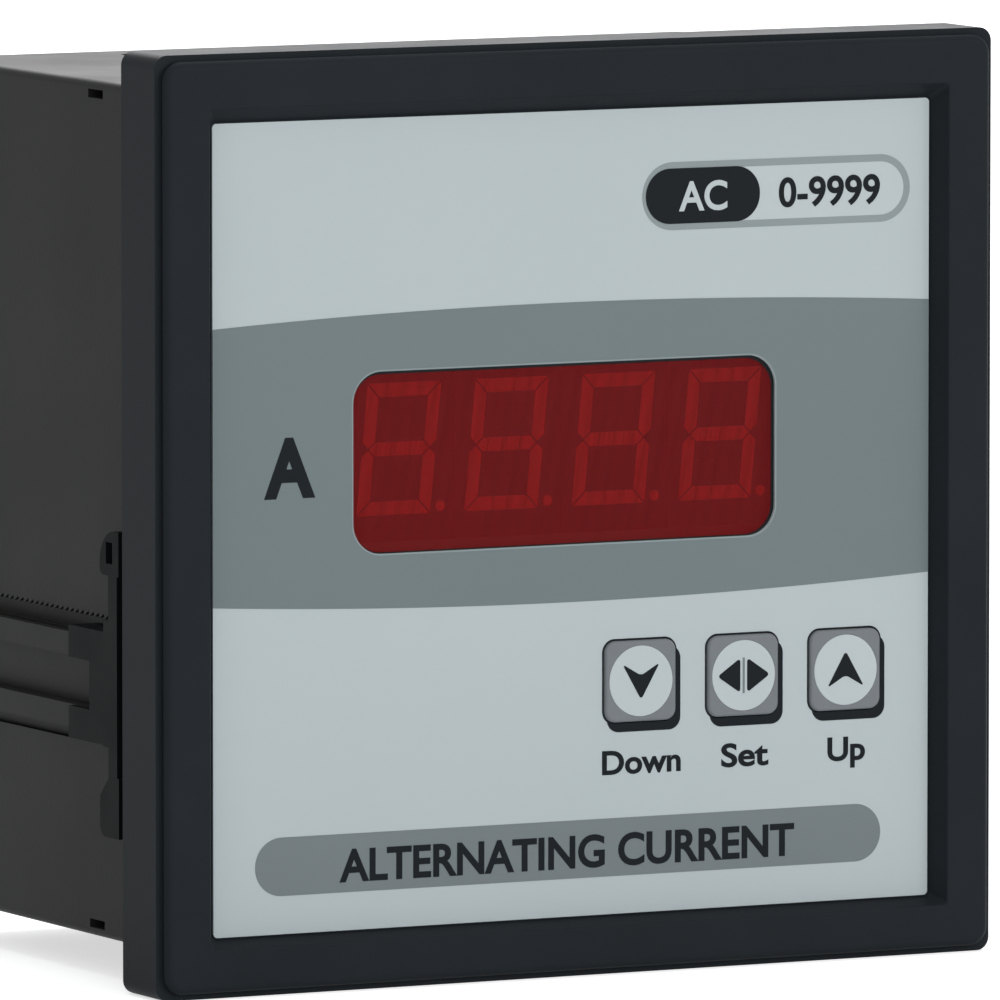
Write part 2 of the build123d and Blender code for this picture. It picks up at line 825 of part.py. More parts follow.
def make_chip(centre_x, length, width, height, lead_count):
    """A moulded chip behind the display board, with a row of bent leads above and below."""
    body_base = board_back + chip_lead_thickness
    shoulder = body_base + height / 2
    root = width / 2 - chip_lead_thickness
    knee = width / 2 + chip_lead_reach / 2
    toe = width / 2 + chip_lead_reach
    with BuildPart() as chip:
        with BuildSketch(at_depth(body_base)):
            with Locations((centre_x, chip_z)):
                Rectangle(length, width)
        extrude(amount=-height, taper=chip_draft)
        for index in range(lead_count):
            lead_x = centre_x + (index - (lead_count - 1) / 2) * length / lead_count
            with BuildSketch(Plane.YZ.offset(lead_x - chip_lead_width / 2)):
                for side in (-1, 1):
                    outline = [
                        (shoulder, root),
                        (shoulder, knee),
                        (body_base, knee),
                        (body_base, toe),
                        (board_back, toe),
                        (board_back, knee - chip_lead_thickness),
                        (shoulder - chip_lead_thickness, knee - chip_lead_thickness),
                        (shoulder - chip_lead_thickness, root),
                    ]
                    Polygon([(y, chip_z + side * z) for y, z in outline], align=(Align.NONE, Align.NONE))
            extrude(amount=chip_lead_width)
    return chip


controller_chip = make_chip(chip_x, chip_size, chip_size, chip_height, chip_lead_count)
driver_chip = make_chip(driver_x, driver_length, driver_width, driver_height, driver_lead_count)

# Crystal in its can, lying beside the controller chip
with BuildPart() as crystal:
    with BuildSketch(at_depth(board_back)):
        with Locations((chip_x, chip_z - chip_size / 2 - crystal_gap)):
            SlotOverall(crystal_length, crystal_width)
    extrude(amount=-crystal_height)

# Main board, flat in the case's guides
with BuildPart() as main_board:
    with BuildSketch(Plane.XY.offset(main_board_z)):
        with Locations((0, (main_board_front + main_board_rear) / 2)):
            Rectangle(2 * main_board_half, main_board_rear - main_board_front)
    extrude(amount=board_thickness)

# Socket on the display board and the header on the main board that plugs into it
with BuildPart() as board_socket:
    with BuildSketch(at_depth(board_back + socket_depth)):
        with Locations((core_x, pin_height)):
            Rectangle(row_length, socket_height)
            with GridLocations(pin_pitch, 1, pin_count, 1):
                hole = pin_width + 2 * guide_clearance
                Rectangle(hole, hole, mode=Mode.SUBTRACT)
    extrude(amount=socket_depth)

with BuildPart() as board_header:
    with BuildSketch(at_depth(header_front + header_depth)):
        with Locations((core_x, (main_board_top + pin_height + socket_height / 2) / 2)):
            Rectangle(row_length, pin_height + socket_height / 2 - main_board_top)
        with Locations((core_x, pin_height)):
            with GridLocations(pin_pitch, 1, pin_count, 1):
                Rectangle(pin_width, pin_width, mode=Mode.SUBTRACT)
    extrude(amount=header_depth)

with BuildPart() as header_pins:
    for index in range(pin_count):
        pin_x = core_x + (index - (pin_count - 1) / 2) * pin_pitch
        with BuildSketch(Plane.YZ.offset(pin_x - pin_width / 2)):
            with BuildLine():
                Polyline(
                    (board_back + pin_tail, pin_height - pin_width / 2),
                    (pin_drop_y - pin_width / 2, pin_height - pin_width / 2),
                    (pin_drop_y - pin_width / 2, main_board_top),
                    (pin_drop_y + pin_width / 2, main_board_top),
                    (pin_drop_y + pin_width / 2, pin_height + pin_width / 2),
                    (board_back + pin_tail, pin_height + pin_width / 2),
                    close=True,
                )
            make_face()
        extrude(amount=pin_width)

# Transformer: laminated core with two windows, a bobbin on its centre leg, and the coil
core_base = main_board_top + core_lift
core_top = core_base + core_height
core_middle = (core_base + core_top) / 2
window_height_in_core = core_height - 2 * core_leg
window_offset = (core_centre_leg + core_leg) / 2
with BuildPart() as transformer_core:
    with BuildSketch(at_depth(core_y + core_depth / 2)):
        with Locations((core_x, core_middle)):
            Rectangle(core_width, core_height)
            with Locations((-window_offset, 0), (window_offset, 0)):
                Rectangle(core_leg, window_height_in_core, mode=Mode.SUBTRACT)
    extrude(amount=core_depth)

bobbin_height = window_height_in_core - 2 * bobbin_clearance
cheek_width = bobbin_hole_width + 2 * bobbin_wall + 2 * (coil_room - bobbin_wall)
with BuildPart() as transformer_bobbin:
    bobbin_base = core_middle - bobbin_height / 2
    with BuildSketch(Plane.XY.offset(bobbin_base)):
        with Locations((core_x, core_y)):
            Rectangle(bobbin_hole_width + 2 * bobbin_wall, bobbin_hole_depth + 2 * bobbin_wall)
    extrude(amount=bobbin_height)
    for cheek_base in (bobbin_base, bobbin_base + bobbin_height - bobbin_wall):
        with BuildSketch(Plane.XY.offset(cheek_base)):
            with Locations((core_x, core_y)):
                Rectangle(cheek_width, cheek_depth)
        extrude(amount=bobbin_wall)
    # Feet in front of and behind the core, down to the board
    for face_side in (-1, 1):
        foot_place = core_y + face_side * (core_depth / 2 + bobbin_clearance + bobbin_foot / 2)
        with BuildSketch(Plane.XY.offset(main_board_top)):
            with Locations((core_x, foot_place)):
                Rectangle(cheek_width, bobbin_foot)
        extrude(amount=bobbin_base + bobbin_wall - main_board_top)
    with BuildSketch(Plane.XY.offset(main_board_top)):
        with Locations((core_x, core_y)):
            Rectangle(bobbin_hole_width, bobbin_hole_depth)
    extrude(amount=core_height + core_lift, mode=Mode.SUBTRACT)

with BuildPart() as transformer_coil:
    with BuildSketch(Plane.XY.offset(bobbin_base + bobbin_wall)):
        with Locations((core_x, core_y)):
            RectangleRounded(cheek_width - 2 * bobbin_clearance, cheek_depth - bobbin_wall, coil_corner)
            Rectangle(
                bobbin_hole_width + 2 * bobbin_wall, bobbin_hole_depth + 2 * bobbin_wall, mode=Mode.SUBTRACT
            )
    extrude(amount=bobbin_height - 2 * bobbin_wall)

# Smoothing capacitors: two cans with a crimp near the foot
with BuildPart() as smoothing_capacitors:
    radius = capacitor_diameter / 2
    for index in range(2):
        can_pitch = capacitor_diameter + capacitor_gap
        can_y = main_board_front + capacitor_front_gap + radius + index * can_pitch
        with BuildSketch(Plane.XZ.offset(-can_y)):
            with BuildLine():
                Polyline(
                    (capacitor_x, main_board_top),
                    (capacitor_x + radius, main_board_top),
                    (capacitor_x + radius, main_board_top + capacitor_crimp_height - capacitor_crimp),
                    (capacitor_x + radius - capacitor_crimp, main_board_top + capacitor_crimp_height),
                    (capacitor_x + radius, main_board_top + capacitor_crimp_height + capacitor_crimp),
                    (capacitor_x + radius, main_board_top + capacitor_height - capacitor_crimp),
                    (capacitor_x + radius - capacitor_crimp, main_board_top + capacitor_height),
                    (capacitor_x, main_board_top + capacitor_height),
                    close=True,
                )
            make_face()
        revolve(axis=Axis((capacitor_x, can_y, 0), (0, 0, 1)))

# Bridge rectifier, just ahead of the terminal block
with BuildPart() as bridge_rectifier:
    with BuildSketch(Plane.XY.offset(main_board_top)):
        with Locations((capacitor_x, block_front - bridge_gap - bridge_depth / 2)):
            Rectangle(bridge_width, bridge_depth)
    extrude(amount=bridge_height)
    chamfer(bridge_rectifier.faces().sort_by(Axis.Z)[-1].edges().sort_by(Axis.X)[0], bridge_bevel)

# Current transformer: a wound ring standing on a foot, and the conductor that it measures
with BuildPart() as current_transformer:
    with BuildSketch(at_depth(ring_y + ring_thickness / 2)):
        with Locations((ring_x, ring_centre_z)):
            Circle(ring_diameter / 2)
            Circle(ring_bore / 2, mode=Mode.SUBTRACT)
    extrude(amount=ring_thickness)
    fillet(current_transformer.edges().filter_by(GeomType.CIRCLE).group_by(SortBy.RADIUS)[-1], ring_round)
    with BuildSketch(Plane.XY.offset(main_board_top)):
        with Locations((ring_x, ring_y)):
            Rectangle(ring_foot_width, ring_thickness)
    extrude(amount=ring_foot_height + ring_round)

with BuildPart() as input_conductor:
    with BuildLine():
        FilletPolyline(
            (ring_x, conductor_front, main_board_top),
            (ring_x, conductor_front, ring_centre_z),
            (ring_x, conductor_back, ring_centre_z),
            (ring_x, conductor_back, main_board_top),
            radius=conductor_bend,
        )
    with BuildSketch(Plane.XY.offset(main_board_top)):
        with Locations((ring_x, conductor_front)):
            Circle(conductor_diameter / 2)
    sweep()

# Fuse: a glass tube with end caps, and the two clips that hold it
fuse_z = main_board_top + fuse_lift + fuse_diameter / 2
fuse_y = fuse_back - fuse_diameter / 2
fuse_inside = fuse_length / 2 - fuse_cap_length
with BuildPart() as fuse:
    with BuildSketch(Plane.YZ.offset(ring_x - fuse_length / 2)):
        with Locations((fuse_y, fuse_z)):
            Circle(fuse_diameter / 2)
    extrude(amount=fuse_length)
    with BuildSketch(Plane.YZ.offset(ring_x - fuse_inside)):
        with Locations((fuse_y, fuse_z)):
            Circle(fuse_diameter / 2)
            Circle(fuse_diameter / 2 - fuse_cap_wall, mode=Mode.SUBTRACT)
    extrude(amount=2 * fuse_inside, mode=Mode.SUBTRACT)

with BuildPart() as fuse_clips:
    for end in (-1, 1):
        clip_x = ring_x + end * (fuse_length / 2 - fuse_cap_length / 2)
        with BuildSketch(Plane.YZ.offset(clip_x - fuse_clip_width / 2)):
            with Locations((fuse_y, (main_board_top + fuse_z) / 2)):
                Rectangle(fuse_diameter + 2 * fuse_clip_wall, fuse_z - main_board_top)
            with Locations((fuse_y, fuse_z)):
                Circle(fuse_diameter / 2 + guide_clearance, mode=Mode.SUBTRACT)
            with Locations((fuse_y, main_board_top + fuse_clip_wall + fuse_lift / 2)):
                Rectangle(fuse_diameter, fuse_lift, mode=Mode.SUBTRACT)
        extrude(amount=fuse_clip_width)

# Regulator standing at the right edge of the board, its tab outwards
with BuildPart() as regulator:
    package_base = main_board_top + regulator_lift
    with BuildSketch(Plane.YZ.offset(regulator_x)):
        with Locations((ring_y, package_base + regulator_height / 2)):
            Rectangle(regulator_width, regulator_height)
    extrude(amount=regulator_thickness)
    with BuildSketch(Plane.YZ.offset(regulator_x + regulator_thickness - regulator_tab_thickness)):
        with Locations((ring_y, package_base + regulator_height + regulator_tab_height / 2)):
            Rectangle(regulator_width, regulator_tab_height)
            Circle(regulator_hole / 2, mode=Mode.SUBTRACT)
    extrude(amount=regulator_tab_thickness)
    with BuildSketch(Plane.XY.offset(main_board_top)):
        with Locations((regulator_x + regulator_thickness / 2, ring_y)):
            with GridLocations(1, regulator_lead_pitch, 1, 3):
                Rectangle(regulator_lead_thickness, regulator_lead_width)
    extrude(amount=regulator_lift)

# Varistor: a lacquered disc on two leads, beside the conductor
with BuildPart() as varistor:
    varistor_x = ring_x + conductor_diameter / 2 + varistor_side_gap + varistor_diameter / 2
    varistor_z = main_board_top + varistor_lift + varistor_diameter / 2
    with BuildSketch(at_depth(varistor_back)):
        with Locations((varistor_x, varistor_z)):
            Circle(varistor_diameter / 2)
    extrude(amount=varistor_thickness)
    fillet(varistor.edges(), varistor_round)
    with BuildSketch(Plane.XY.offset(main_board_top)):
        with Locations((varistor_x, varistor_back - varistor_thickness / 2)):
            with GridLocations(varistor_lead_pitch, 1, 2, 1):
                Circle(varistor_lead_diameter / 2)
    extrude(amount=varistor_lift + varistor_diameter / 2)

# Terminal block, with a wire entry and a screw access hole for each pole
pole_grid_width = pole_count * pole_pitch
with BuildPart() as terminal_block:
    with BuildSketch(Plane.YZ.offset(-block_width / 2)):
        with BuildLine():
            Polyline(
                (block_front, main_board_top),
                (block_rear, main_board_top),
                (block_rear, main_board_top + block_height),
                (block_front + block_bevel, main_board_top + block_height),
                (block_front, main_board_top + block_height - block_bevel),
                close=True,
            )
        make_face()
    extrude(amount=block_width)
    with BuildSketch(at_depth(block_rear)):
        with Locations((0, main_board_top + entry_z)):
            with GridLocations(pole_pitch, 1, pole_count, 1):
                Rectangle(entry_width, entry_height)
    extrude(amount=entry_depth, mode=Mode.SUBTRACT)
    entry_rims = terminal_block.faces().sort_by(Axis.Y)[-1].inner_wires().edges()
    chamfer(entry_rims, entry_bevel)
    with BuildSketch(at_depth(block_rear)):
        with Locations((0, main_board_top + access_z)):
            with GridLocations(pole_pitch, 1, pole_count, 1):
                Circle(access_diameter / 2)
    extrude(amount=access_depth, mode=Mode.SUBTRACT)
    # Channels for the contacts' pins, down to the board
    pin_y = block_rear - entry_depth + contact_length / 2
    with BuildSketch(Plane.XY.offset(main_board_top)):
        with Locations((0, pin_y)):
            with GridLocations(pole_pitch, 1, pole_count, 1):
                pin_channel = contact_pin + 2 * contact_pin_clearance
                Rectangle(pin_channel, pin_channel)
    extrude(amount=entry_z, mode=Mode.SUBTRACT)

# Clamping screws, seated at the bottom of their access holes
with BuildPart() as terminal_screws:
    head_seat = block_rear - access_depth
    with BuildSketch(at_depth(head_seat + terminal_head_height)):
        with Locations((0, main_board_top + access_z)):
            with GridLocations(pole_pitch, 1, pole_count, 1):
                Circle(terminal_head_diameter / 2)
    extrude(amount=terminal_head_height)
    with BuildSketch(at_depth(head_seat + terminal_head_height)):
        with Locations((0, main_board_top + access_z)):
            with GridLocations(pole_pitch, 1, pole_count, 1):
                Rectangle(terminal_head_diameter, terminal_slot_width, rotation=terminal_slot_turn)
    extrude(amount=terminal_slot_depth, mode=Mode.SUBTRACT)

# Contacts: a strip on the floor of each wire entry, with a pin down to the board
with BuildPart() as terminal_contacts:
    strip_z = main_board_top + entry_z - entry_height / 2
    with BuildSketch(Plane.XY.offset(strip_z)):
        with Locations((0, pin_y)):
            with GridLocations(pole_pitch, 1, pole_count, 1):
                Rectangle(contact_width, contact_length)
    extrude(amount=contact_thickness)
    with BuildSketch(Plane.XY.offset(main_board_top)):
        with Locations((0, pin_y)):
            with GridLocations(pole_pitch, 1, pole_count, 1):
                Rectangle(contact_pin, contact_pin)
    extrude(amount=strip_z - main_board_top)

pieces = {
    "bezel": bezel,
    "rear_case": rear_case,
    "left_clamp": left_clamp,
    "right_clamp": right_clamp,
    "face_label": face_label,
    "window_filter": window_filter,
    "display_board": display_board,
    "board_screws": board_screws,
    "controller_chip": controller_chip,
    "driver_chip": driver_chip,
    "crystal": crystal,
    "main_board": main_board,
    "board_socket": board_socket,
    "board_header": board_header,
    "header_pins": header_pins,
    "transformer_core": transformer_core,
    "transformer_bobbin": transformer_bobbin,
    "transformer_coil": transformer_coil,
    "smoothing_capacitors": smoothing_capacitors,
    "bridge_rectifier": bridge_rectifier,
    "current_transformer": current_transformer,
    "input_conductor": input_conductor,
    "fuse": fuse,
    "fuse_clips": fuse_clips,
    "regulator": regulator,
    "varistor": varistor,
    "terminal_block": terminal_block,
    "terminal_screws": terminal_screws,
    "terminal_contacts": terminal_contacts,
}
for index in range(digit_count):
    pieces[f"digit_{index + 1}"] = digits[index]
    pieces[f"digit_{index + 1}_segments"] = digit_segments[index]
for name, place in zip(key_names, key_places):
    pieces[f"key_{name}"] = make_key(place)
    pieces[f"key_{name}_disc"] = make_disc(place)
    pieces[f"switch_{name}_body"] = make_switch_body(place)
    pieces[f"switch_{name}_cover"] = make_switch_cover(place)
    pieces[f"switch_{name}_plunger"] = make_plunger(place)

os.makedirs("parts", exist_ok=True)
for name, piece in pieces.items():
    piece.part.label = name
    export_step(piece.part, f"parts/{name}.step")
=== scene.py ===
import math
import bpy
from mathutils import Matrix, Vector


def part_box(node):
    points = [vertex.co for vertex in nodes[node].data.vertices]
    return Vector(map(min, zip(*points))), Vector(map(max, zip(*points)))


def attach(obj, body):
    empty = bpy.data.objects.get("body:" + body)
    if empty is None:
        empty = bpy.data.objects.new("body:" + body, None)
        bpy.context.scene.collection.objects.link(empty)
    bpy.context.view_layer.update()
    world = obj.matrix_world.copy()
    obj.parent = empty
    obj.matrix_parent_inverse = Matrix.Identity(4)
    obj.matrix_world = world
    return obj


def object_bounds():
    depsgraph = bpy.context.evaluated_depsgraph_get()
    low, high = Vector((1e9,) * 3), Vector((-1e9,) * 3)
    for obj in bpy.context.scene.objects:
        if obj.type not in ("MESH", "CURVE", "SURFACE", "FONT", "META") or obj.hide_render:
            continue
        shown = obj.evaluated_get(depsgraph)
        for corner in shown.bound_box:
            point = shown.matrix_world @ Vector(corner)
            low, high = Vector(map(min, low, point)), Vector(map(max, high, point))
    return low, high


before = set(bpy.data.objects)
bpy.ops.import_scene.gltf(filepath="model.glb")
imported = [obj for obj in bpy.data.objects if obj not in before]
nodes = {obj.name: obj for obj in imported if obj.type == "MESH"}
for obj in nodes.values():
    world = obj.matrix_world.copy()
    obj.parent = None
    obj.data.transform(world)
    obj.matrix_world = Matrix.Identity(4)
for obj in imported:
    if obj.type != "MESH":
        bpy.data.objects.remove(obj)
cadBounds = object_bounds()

mm = 0.001
keyNames = ("down", "set", "up")
digitCount = 4
print("frame loaded:", len(nodes), "nodes")


# Colours are written in sRGB and turned to linear here
def linearColor(hexCode):
    channels = []
    for start in (1, 3, 5):
        value = int(hexCode[start:start + 2], 16) / 255
        channels.append(value / 12.92 if value <= 0.04045 else ((value + 0.055) / 1.055) ** 2.4)
    return (*channels, 1.0)


# Adds one node: settings go to its attributes or sockets, links to its sockets
def addNode(tree, kind, settings=None, links=None):
    node = tree.nodes.new(kind)
    for name, value in (settings or {}).items():
        if isinstance(name, str) and hasattr(node, name):
            setattr(node, name, value)
        else:
            node.inputs[name].default_value = value
    for name, source in (links or {}).items():
        tree.links.new(source, node.inputs[name])
    return node


def newMaterial(name):
    material = bpy.data.materials.new(name)
    material.use_nodes = True
    tree = material.node_tree
    tree.nodes.clear()
    shader = addNode(tree, "ShaderNodeBsdfPrincipled")
    output = addNode(tree, "ShaderNodeOutputMaterial")
    tree.links.new(shader.outputs["BSDF"], output.inputs["Surface"])
    place = addNode(tree, "ShaderNodeTexCoord")
    return material, tree, shader, place.outputs["Object"]


mixFirst, mixSecond, mixResult = 6, 7, 2  # the colour sockets of a Mix node
noiseLow, noiseHigh = 0.3, 0.7  # most of a Noise node's values lie between these
bandPeriod = 0.314  # a Wave node of scale 1 repeats its bands at this length


# What every surface has: its tone, a sheen that follows the patches, its relief and the shader's constants
def completeSurface(tree, shader, look, tone, patches, height):
    sheen = addNode(tree, "ShaderNodeMapRange", {
        "From Min": noiseLow, "From Max": noiseHigh,
        "To Min": look["roughness"] - look["spread"], "To Max": look["roughness"] + look["spread"]},
        {"Value": patches.outputs["Fac"]})
    relief = addNode(tree, "ShaderNodeBump", {
        "Strength": 1.0, "Distance": look["relief"] * mm}, {"Height": height})
    tree.links.new(tone.outputs[mixResult], shader.inputs["Base Color"])
    tree.links.new(sheen.outputs["Result"], shader.inputs["Roughness"])
    tree.links.new(relief.outputs["Normal"], shader.inputs["Normal"])
    shader.inputs["IOR"].default_value = look.get("ior", 1.5)
    shader.inputs["Specular IOR Level"].default_value = look.get("specular", 0.5)
    shader.inputs["Metallic"].default_value = look.get("metallic", 0.0)
    shader.inputs["Alpha"].default_value = look.get("alpha", 1.0)


# Moulded, cast, dipped or printed surfaces: soft patches of two tones and a fine grain.
# "patch" and "grain" are how wide these are, and "relief" how high the grain stands
def moulded(name, look):
    material, tree, shader, place = newMaterial(name)
    patches = addNode(tree, "ShaderNodeTexNoise", {
        "Scale": 1 / (look["patch"] * mm), "Detail": 4.0, "Roughness": 0.6}, {"Vector": place})
    tone = addNode(tree, "ShaderNodeMix", {
        "data_type": "RGBA", mixFirst: linearColor(look["color"]), mixSecond: linearColor(look["second"])},
        {0: patches.outputs["Fac"]})
    grain = addNode(tree, "ShaderNodeTexNoise", {
        "Scale": 1 / (look["grain"] * mm), "Detail": 2.0, "Roughness": 0.5}, {"Vector": place})
    completeSurface(tree, shader, look, tone, patches, grain.outputs["Fac"])
    return material


# Surfaces with fine lines, such as brushed sheet or wound wire; with "across", a woven check.
# "pitch" is the spacing of the lines, and "relief" how high they stand
def lined(name, look):
    material, tree, shader, place = newMaterial(name)
    scale = bandPeriod / (look["pitch"] * mm)
    lines = addNode(tree, "ShaderNodeTexWave", {
        "wave_type": "BANDS", "bands_direction": look["direction"], "Scale": scale,
        "Distortion": look.get("waver", 0.0), "Detail": 2.0, "Detail Scale": 4.0}, {"Vector": place})
    height = lines.outputs["Fac"]
    for direction in look.get("across", ()):
        cross = addNode(tree, "ShaderNodeTexWave", {
            "wave_type": "BANDS", "bands_direction": direction, "Scale": scale}, {"Vector": place})
        check = addNode(tree, "ShaderNodeMath", {"operation": "MULTIPLY"}, {
            0: height, 1: cross.outputs["Fac"]})
        height = check.outputs[0]
    patches = addNode(tree, "ShaderNodeTexNoise", {
        "Scale": 1 / (look["patch"] * mm), "Detail": 3.0}, {"Vector": place})
    tone = addNode(tree, "ShaderNodeMix", {
        "data_type": "RGBA", mixFirst: linearColor(look["second"]), mixSecond: linearColor(look["color"])},
        {0: height})
    completeSurface(tree, shader, look, tone, patches, height)
    return material


# ABS moulded in a spark-eroded tool: near black and a little blue, with a faint grey sheen at a low
# angle and a grain of 0.3 mm
mouldedBezelAbs = moulded("mouldedBezelAbs", {
    "color": "#22272a", "second": "#2a2d31", "patch": 16, "roughness": 0.36, "spread": 0.05,
    "grain": 0.3, "relief": 0.012, "specular": 0.016})

# The same ABS from a coarser tool: a little greyer and flatter than the bezel
mouldedCaseAbs = moulded("mouldedCaseAbs", {
    "color": "#252725", "second": "#2b2d2b", "patch": 22, "roughness": 0.4, "spread": 0.05,
    "grain": 0.35, "relief": 0.016, "specular": 0.032})

# Nylon moulded smooth; it is coloured darker than the case, which paints the shade that falls on the clamps
nylonWithPaintedShade = moulded("nylonWithPaintedShade", {
    "color": "#0f1112", "second": "#151718", "patch": 6, "roughness": 0.46, "spread": 0.05,
    "grain": 0.5, "relief": 0.008, "specular": 0.022})

# Polycarbonate sheet with a satin face, printed light grey from behind: even, cool and slightly soft
satinSheet = {"roughness": 0.5, "spread": 0.04, "grain": 0.25, "relief": 0.002, "specular": 0.15}
satinPolycarbonate = moulded("satinPolycarbonate", {
    **satinSheet, "color": "#b2bdc0", "second": "#bac3c6", "patch": 40})

# Screen-printed inks of that sheet: flat tones with its satin, and a black that is a little duller
screenInkBand = moulded("screenInkBand", {
    **satinSheet, "color": "#717d7f", "second": "#6f7a7d", "patch": 30})
screenInkEdge = moulded("screenInkEdge", {
    **satinSheet, "color": "#8f999b", "second": "#879193", "patch": 12})
screenInkGrey = moulded("screenInkGrey", {
    **satinSheet, "color": "#767f82", "second": "#717a7d", "patch": 22})
screenInkPale = moulded("screenInkPale", {
    **satinSheet, "color": "#bcc5c7", "second": "#b6bfc1", "patch": 12})
screenInkBlack = moulded("screenInkBlack", {
    "color": "#0f1417", "second": "#151b1e", "patch": 3, "roughness": 0.48, "spread": 0.05,
    "grain": 0.2, "relief": 0.003, "specular": 0.08})

# Pad-printed white on the black case: thin, so the black dulls it a little
padPrintedWhite = moulded("padPrintedWhite", {
    "color": "#b9bdbc", "second": "#a9adac", "patch": 2, "roughness": 0.55, "spread": 0.04,
    "grain": 0.2, "relief": 0.003, "specular": 0.2})

# Cast acrylic dyed red: a dark, see-through pane that swallows most of what lies behind it
dyedAcrylic = moulded("dyedAcrylic", {
    "color": "#8c1619", "second": "#821518", "patch": 20, "roughness": 0.2, "spread": 0.04,
    "grain": 1.5, "relief": 0.001, "ior": 1.49, "specular": 0.08, "alpha": 0.45})

# Display modules: dyed epoxy face with clouded resin segments, both unlit
epoxyFace = moulded("epoxyFace", {
    "color": "#611416", "second": "#571214", "patch": 9, "roughness": 0.5, "spread": 0.06,
    "grain": 0.3, "relief": 0.003, "specular": 0.1})
cloudedResin = moulded("cloudedResin", {
    "color": "#cb2b27", "second": "#b82523", "patch": 7, "roughness": 0.45, "spread": 0.06,
    "grain": 0.3, "relief": 0.002, "specular": 0.1})

# Keys: grey ABS with a fine matt finish, and off-white discs with a satin print
mouldedKeyAbs = moulded("mouldedKeyAbs", {
    "color": "#6a6f73", "second": "#767b7f", "patch": 7, "roughness": 0.46, "spread": 0.05,
    "grain": 0.22, "relief": 0.006, "specular": 0.25})
printedDisc = moulded("printedDisc", {
    "color": "#b5bfc2", "second": "#bcc5c8", "patch": 6, "roughness": 0.48, "spread": 0.04,
    "grain": 0.25, "relief": 0.002, "specular": 0.2})

# Phenolic and epoxy mouldings: chips, connectors, switches and bobbin are plain matt black
mouldedEpoxy = moulded("mouldedEpoxy", {
    "color": "#141517", "second": "#1c1d20", "patch": 3, "roughness": 0.55, "spread": 0.06,
    "grain": 0.15, "relief": 0.006, "specular": 0.3})

# Terminal block: flame-retardant nylon, dark grey with a dull sheen
mouldedTerminalNylon = moulded("mouldedTerminalNylon", {
    "color": "#26292b", "second": "#2e3133", "patch": 11, "roughness": 0.47, "spread": 0.06,
    "grain": 0.3, "relief": 0.012, "specular": 0.3})

# Glass-epoxy board under green solder mask: the glass, woven at 0.6 mm, shows as a faint check
solderMask = lined("solderMask", {
    "color": "#2c6339", "second": "#275834", "direction": "X", "across": ("Y", "Z"), "pitch": 0.6,
    "patch": 9, "roughness": 0.34, "spread": 0.05, "relief": 0.004})

# Zinc-plated steel, tinned brass and gold-plated pins: bright, with drawing lines along one way,
# which are spaced wider than the real ones so that they show
platedSteel = lined("platedSteel", {
    "color": "#a9abad", "second": "#9a9c9e", "direction": "X", "pitch": 0.12, "patch": 2, "waver": 1.5,
    "roughness": 0.34, "spread": 0.06, "relief": 0.002, "metallic": 1.0})
tinnedBrass = lined("tinnedBrass", {
    "color": "#c9bd95", "second": "#b3a680", "direction": "Z", "pitch": 0.15, "patch": 3, "waver": 1.0,
    "roughness": 0.32, "spread": 0.06, "relief": 0.002, "metallic": 1.0})
goldPins = lined("goldPins", {
    "color": "#d2ad5c", "second": "#c39c4c", "direction": "Y", "pitch": 0.2, "patch": 2,
    "roughness": 0.28, "spread": 0.05, "relief": 0.001, "metallic": 1.0})

# Stacked electrical steel, 0.5 mm sheets: dark grey edges with thin gaps
stackedSteel = lined("stackedSteel", {
    "color": "#4a4b4d", "second": "#2b2c2e", "direction": "Y", "pitch": 0.5, "patch": 5,
    "roughness": 0.5, "spread": 0.08, "relief": 0.03, "metallic": 0.8})

# Enamelled copper of 0.35 mm wound in layers, and a conductor of bare drawn copper
woundCopper = lined("woundCopper", {
    "color": "#b8793c", "second": "#8a5526", "direction": "Z", "pitch": 0.35, "patch": 4, "waver": 0.6,
    "roughness": 0.35, "spread": 0.05, "relief": 0.08, "metallic": 0.7})
drawnCopper = lined("drawnCopper", {
    "color": "#c07a55", "second": "#ad6a47", "direction": "Y", "pitch": 0.3, "patch": 4,
    "roughness": 0.3, "spread": 0.05, "relief": 0.002, "metallic": 1.0})

# Polyester tape wound round the ring: glossy yellow with a ridge at each overlap, 2.2 mm apart
woundTape = lined("woundTape", {
    "color": "#c8b048", "second": "#b59c3a", "direction": "Z", "pitch": 2.2, "patch": 6, "waver": 1.0,
    "roughness": 0.3, "spread": 0.05, "relief": 0.05})

# Shrunk PVC sleeve, dipped lacquer and fuse glass: glossy, the glass clear and the others coloured
shrunkSleeve = moulded("shrunkSleeve", {
    "color": "#1d2b36", "second": "#22323e", "patch": 5, "roughness": 0.3, "spread": 0.05,
    "grain": 0.8, "relief": 0.01})
dippedLacquer = moulded("dippedLacquer", {
    "color": "#24589a", "second": "#1f4d8a", "patch": 4, "roughness": 0.28, "spread": 0.05,
    "grain": 1.2, "relief": 0.03})
drawnGlass = moulded("drawnGlass", {
    "color": "#c9d2d2", "second": "#bfc9c9", "patch": 5, "roughness": 0.08, "spread": 0.02,
    "grain": 2.0, "relief": 0.002, "alpha": 0.5})

